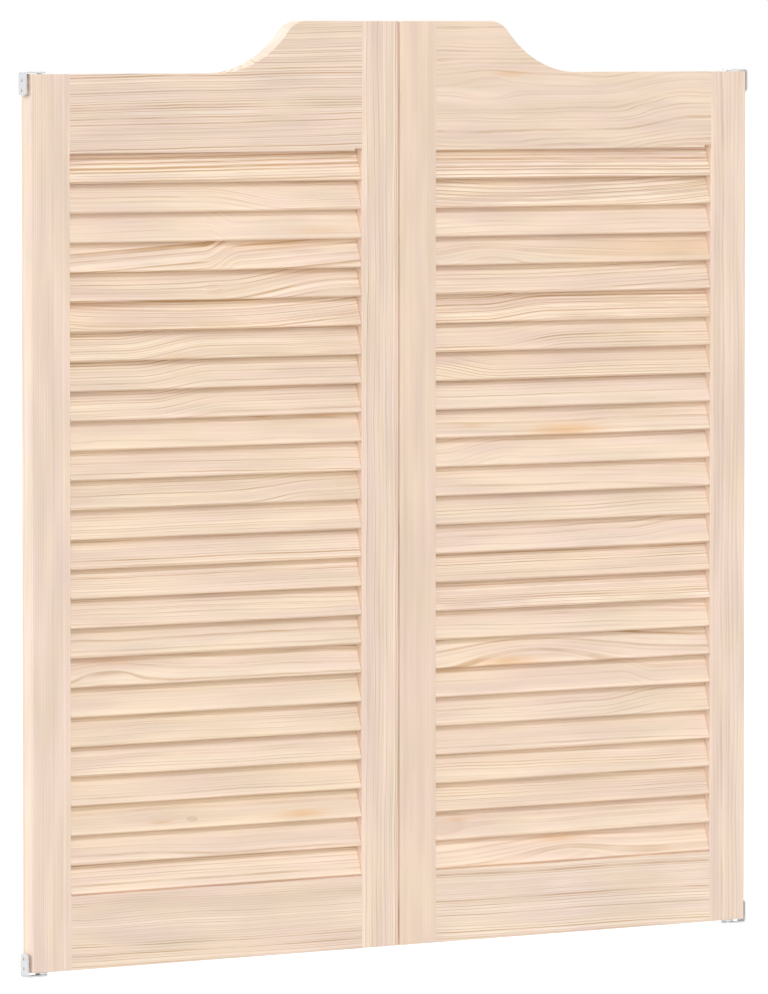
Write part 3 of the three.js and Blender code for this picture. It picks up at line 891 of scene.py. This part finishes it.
# Slats from the top down; places from the left end and the middle, with the lower edge at -23 across
SLAT_FIGURES = {
    "left": [
        figure(4.8, 2.10, 0.012, 2.0, **shade(1.03, -0.02)),
        figure(5.0, 0.60, 0.0, 4.0, **step(250, 130, -16)),
        figure(6.0, 0.32, 0.0, 5.0, **step(212, 40, -15), **stain(345, -14, 40, 0.35)),
        figure(9.0, 1.15, 0.06, 3.0, **step(212, 50, 16), **stain(290, 6, 60, 0.35), **shade(1.03)),
        figure(
            4.6, 1.15, 0.0, 3.0, **step(290, 190, 22), **knot(200, -12, 4, 0.15), **stain(330, 10, 60, 0.3)
        ),
        figure(3.4, 1.90, 0.0, 3.0, **bow(170, 9), **stain(40, 10, 60, 0.35), **shade(1.06)),
        figure(3.2, 1.28, 0.0, 3.0, **step(130, 120, 14), **stain(150, -21, 20, 0.4), **shade(0.975)),
        figure(3.2, 0.90, 0.0, 3.0, **step(150, 110, 12), **shade(0.97)),
        figure(3.2, 0.85, 0.0, 3.0, **step(165, 110, 13)),
        figure(
            6.0, 0.30, -0.02, 8.0, **stain(268, 10, 16, 0.75), **second_stain(355, 11, 34, 0.65),
            **shade(0.985, 0.025)
        ),
        figure(4.0, 0.95, -0.010),
        figure(4.0, 1.00, 0.0, 5.0, **step(290, 110, 10), **shade(0.96, 0.015)),
        figure(3.0, 0.58, 0.0, 3.0),
        figure(3.0, 0.85, 0.0, 2.0),
        figure(2.8, 0.88, 0.0, 3.0),
        figure(3.6, 0.60, -0.010, 5.0),
        figure(9.0, 0.70, 0.0, 6.0, **shade(0.97, 0.015)),
        figure(7.0, 0.75, 0.0, 6.0, **knot(52, -24, 18), **stain(60, 6, 50, 0.35)),
        figure(4.0, 0.25, **shade(0.995, 0.025)),
        figure(4.0, 0.45, **shade(0.98, 0.04)),
        figure(3.5, 0.65),
        figure(3.6, 0.46, **shade(0.995, 0.02)),
        figure(
            5.0, 0.45, **knot(122, -13, 5), **second_knot(168, -14, 3, 0.3), **stain(322, -15, 34, 0.7),
            **second_stain(126, -15, 16, 0.55), **shade(0.985, 0.04)
        ),
        figure(8.0, 0.60, 0.0, 5.0, **step(150, 160, -7)),
        figure(4.6, 0.66, 0.0, 2.5, **shade(1.03)),
    ],
    "right": [
        figure(4.2, 2.25, -0.005, 2.0, **shade(1.015, -0.04)),
        figure(4.4, 1.80, 0.0, 2.5, **bow(150, 7)),
        figure(6.0, 0.34),
        figure(6.5, 0.45, **knot(80, -34, 20), **stain(345, -6, 120, 0.40), **shade(0.97)),
        figure(5.0, 0.95, 0.0, 3.0, **bow(60, 3)),
        figure(4.0, 2.25, 0.0, 3.0, **step(120, 100, 9), **shade(1.03, -0.02)),
        figure(3.2, 0.85, 0.0, 3.0, **step(140, 120, 12)),
        figure(3.0, 1.15, 0.0, 3.0, **step(40, 110, -14)),
        figure(3.2, 0.64, 0.0, 3.0, **shade(0.965, -0.03)),
        figure(5.0, 0.92, **stain(193, -18, 55, 0.75), **second_stain(55, -10, 20, 0.45)),
        figure(4.5, 0.55, 0.0, 5.0, **step(60, 100, 14)),
        figure(4.5, 0.46, **bow(110, -5)),
        figure(4.0, 0.64, 0.010, **shade(0.955)),
        figure(3.4, 0.68, 0.010, **step(330, 90, 8), **shade(1.01, -0.025)),
        figure(2.8, 1.24, 0.0, 2.0),
        figure(3.2, 1.93, 0.0, 2.0, **shade(1.02, -0.035)),
        figure(5.0, 0.58, -0.020, 4.0),
        figure(9.0, 0.85, **knot(140, -48, 40), **stain(110, -20, 48, 0.75)),
        figure(6.0, 0.46, **step(300, 50, -14), **stain(20, 10, 40, 0.5)),
        figure(5.0, 0.48, 0.0, 5.0, **step(300, 120, 12), **shade(0.975)),
        figure(3.6, 0.55, -0.010),
        figure(3.2, 0.70, -0.015),
        figure(3.2, 1.20, -0.010),
        figure(6.0, 0.30, **knot(14, -6, 12, 0.12), **stain(38, 0, 18, 0.45)),
        figure(
            9.0, 0.95, 0.02, 4.0, **knot(190, -34, 22), **stain(180, 4, 34, 0.5), **shade(1.07, -0.01)
        ),
    ],
}

# Places from the lower left corner of a board
FRAME_FIGURES = {
    "left": {
        "hinge_stile": figure(2.6, 0.40, 0.0, 2.0),
        # A painted highlight along this stile's left edge, beside the slats.
        "meeting_stile": figure(3.2, 0.80, 0.0, 6.0, **painted_highlight_edge(0)),
        "top_rail": figure(3.2, 1.15, 0.015, 3.0),
        "bottom_rail": figure(2.8, 0.72, -0.010, 4.0, **tone(1.012, 1.012, 1.025)),
    },
    "right": {
        # Painted highlights along the left edges of both stiles.
        "hinge_stile": figure(5.5, 0.42, 0.0, 7.0, **painted_highlight_edge(0)),
        "meeting_stile": figure(4.0, 0.22, 0.0, 3.0, **tone(0.992, 0.981, 0.971), **painted_highlight_edge(0)),
        "top_rail": figure(
            5.0, 0.52, 0.0, 9.0, **step(310, 130, 15), **knot(75, 72, 12), **stain(105, 88, 26, 0.5),
            **tone(1.017, 1.019, 1.018)
        ),
        "bottom_rail": figure(3.2, 1.12, -0.010, 3.0, **tone(1.035, 1.050, 1.086)),
    },
}


def build_leaf(side):
    """The boards and slats of one leaf; its first and last slats stand for part of a rail's node."""
    leaf = Leaf(side)
    body = f"{side}_leaf"
    seed = SEEDS[side]
    hinge_is_low = side == "left"
    corner_x, corner_y = leaf.low_x, leaf.front_y
    hinge_stile = stile(leaf, leaf.hinge_low, leaf.hinge_high, hinge_is_low)
    meeting_stile = stile(leaf, leaf.meeting_low, leaf.meeting_high, not hinge_is_low)
    boards = {
        "hinge_stile": ("Z", leaf.hinge_low, hinge_stile),
        "meeting_stile": ("Z", leaf.meeting_low, meeting_stile),
        "top_rail": ("X", Vector((corner_x, corner_y, leaf.opening_top)), top_rail(leaf)),
        "bottom_rail": ("X", Vector((corner_x, corner_y, leaf.bottom_z)), bottom_rail(leaf)),
    }
    for count, (part, (grain, origin, mesh)) in enumerate(boards.items()):
        label = f"{side}_{part}"
        look = {"Tone": FRAME_TONE, **FRAME_FIGURES[side][part], "Seed": seed + count}
        material = pine(f"pine_{label}", grain, origin, 0.0, look)
        add_piece(f"{label}_board", mesh, body, [label], material)
    for number, look in enumerate(SLAT_FIGURES[side], 1):
        label = f"{side}_slat_{number:02d}"
        # Each slat gets a painted highlight along its lower edge.
        own = {"Tone": SLAT_TONE, **look, **painted_highlight_edge(-SLAT_WIDTH / 2 / MM)}
        own["Seed"] = seed + SLAT_SEED + number
        origin = (leaf.low_x, 0.0, leaf.slat_middle(number))
        material = pine(f"pine_{label}", "X", origin, slat_tilt(leaf), own)
        node = {1: f"{side}_top_rail", SLAT_COUNT: f"{side}_bottom_rail"}.get(number, label)
        add_piece(f"{label}_blade", slat(leaf, number), body, [node], material)


def build_hardware():
    plate = zinc()
    for side in SIDES:
        for piece, body in (
            ("bottom_bracket", "brackets"),
            ("top_bracket", "brackets"),
            ("spring_pivot", f"{side}_leaf"),
        ):
            node = f"{side}_{piece}"
            mesh = eased_copy(piece, side, PLATE_ARRIS)
            add_piece(f"{node}_plated", mesh, body, [node], plate)


# Stage

FLOOR_DROP = 0.45  # the doors hang this far above the floor
FLOOR_REACH = 150.0
FLOOR_GREY = (0.68, 0.68, 0.68, 1.0)
FLOOR_LIFT = (0.8, 2.6, 0.35, 0.5)  # a ramp by the distance from the doors
CAMERA_PLACE = Vector((-5.9388, -8.1183, 1.0714))
CAMERA_AIM = Vector((-0.0141, 0.0, 0.5253))
CAMERA_LENS = 315.47  # millimetres, as the sensor
SENSOR_WIDTH = 36.0
CAMERA_SIGHT = 200.0
WORLD_LIGHT = 0.60
WORLD_COLOUR = (1.035, 0.995, 0.84, 1.0)
LAMP_DISTANCE = 6.0
# Azimuth, elevation and spread in degrees; share of the light; colour
LAMPS = {
    "key": (-8.0, 42.0, 6.0, 0.207, (0.935, 1.0, 1.27)),
    "low_front": (-20.0, 10.0, 60.0, 0.247, (0.985, 1.0, 1.14)),
    "side": (-102.0, 20.0, 40.0, 0.415, (0.91, 1.0, 1.17)),
    "back": (140.0, 30.0, 40.0, 0.20, (1.0, 1.0, 1.0)),
}


def floor():
    """A pale floor that takes the shadow of the doors and pales to white away from them."""
    made = bmesh.new()
    bmesh.ops.create_grid(made, x_segments=1, y_segments=1, size=FLOOR_REACH)
    data = bpy.data.meshes.new("floor")
    made.to_mesh(data)
    made.free()
    plane = bpy.data.objects.new("floor", data)
    plane.location.z = -FLOOR_DROP
    bpy.context.scene.collection.objects.link(plane)
    paint, graph, shader = new_material("floor_white")
    shader.inputs["Base Color"].default_value = FLOOR_GREY
    shader.inputs["Roughness"].default_value = 1.0
    shader.inputs["Specular IOR Level"].default_value = 0.0
    shader.inputs["Emission Color"].default_value = WHITE
    here = graph.node("ShaderNodeTexCoord", {}).outputs["Object"]
    away = graph.node("ShaderNodeVectorMath", {0: here}, operation="LENGTH").outputs["Value"]
    lift = graph.math("MULTIPLY", graph.shown(), graph.ramp(away, *FLOOR_LIFT))
    graph.feed(shader.inputs["Emission Strength"], lift)
    data.materials.append(paint)


def lamp(name, azimuth, elevation, spread, share, colour):
    """A broad far lamp; share is how far it alone would light a white card that faces it."""
    data = bpy.data.lights.new(name, "SUN")
    data.energy = share * math.pi
    data.angle = math.radians(spread)
    data.color = colour
    sun = bpy.data.objects.new(name, data)
    turn, rise = math.radians(azimuth), math.radians(elevation)
    back = Vector((math.sin(turn) * math.cos(rise), -math.cos(turn) * math.cos(rise), math.sin(rise)))
    sun.location = CAMERA_AIM + back * LAMP_DISTANCE
    sun.rotation_euler = (-back).to_track_quat("-Z", "Y").to_euler()
    bpy.context.scene.collection.objects.link(sun)


def world():
    """White to the eye and in reflections, and an even light on the doors."""
    made = bpy.data.worlds.new("studio")
    bpy.context.scene.world = made
    made.use_nodes = True
    graph = Graph(made.node_tree)
    background = made.node_tree.nodes["Background"]
    shown = graph.shown()
    graph.feed(background.inputs["Color"], graph.mix(shown, WORLD_COLOUR, WHITE))
    strength = graph.math("MULTIPLY_ADD", shown, 1.0 - WORLD_LIGHT, WORLD_LIGHT)
    graph.feed(background.inputs["Strength"], strength)


def camera():
    data = bpy.data.cameras.new("camera")
    data.lens = CAMERA_LENS
    data.sensor_width = SENSOR_WIDTH
    data.clip_end = CAMERA_SIGHT
    eye = bpy.data.objects.new("camera", data)
    eye.location = CAMERA_PLACE
    eye.rotation_euler = (CAMERA_AIM - CAMERA_PLACE).to_track_quat("-Z", "Y").to_euler()
    bpy.context.scene.collection.objects.link(eye)
    bpy.context.scene.camera = eye


bpy.context.scene.view_settings.view_transform = "Standard"
camera()
world()
floor()
for lamp_name, settings in LAMPS.items():
    lamp(lamp_name, *settings)
for side in SIDES:
    build_leaf(side)
build_hardware()
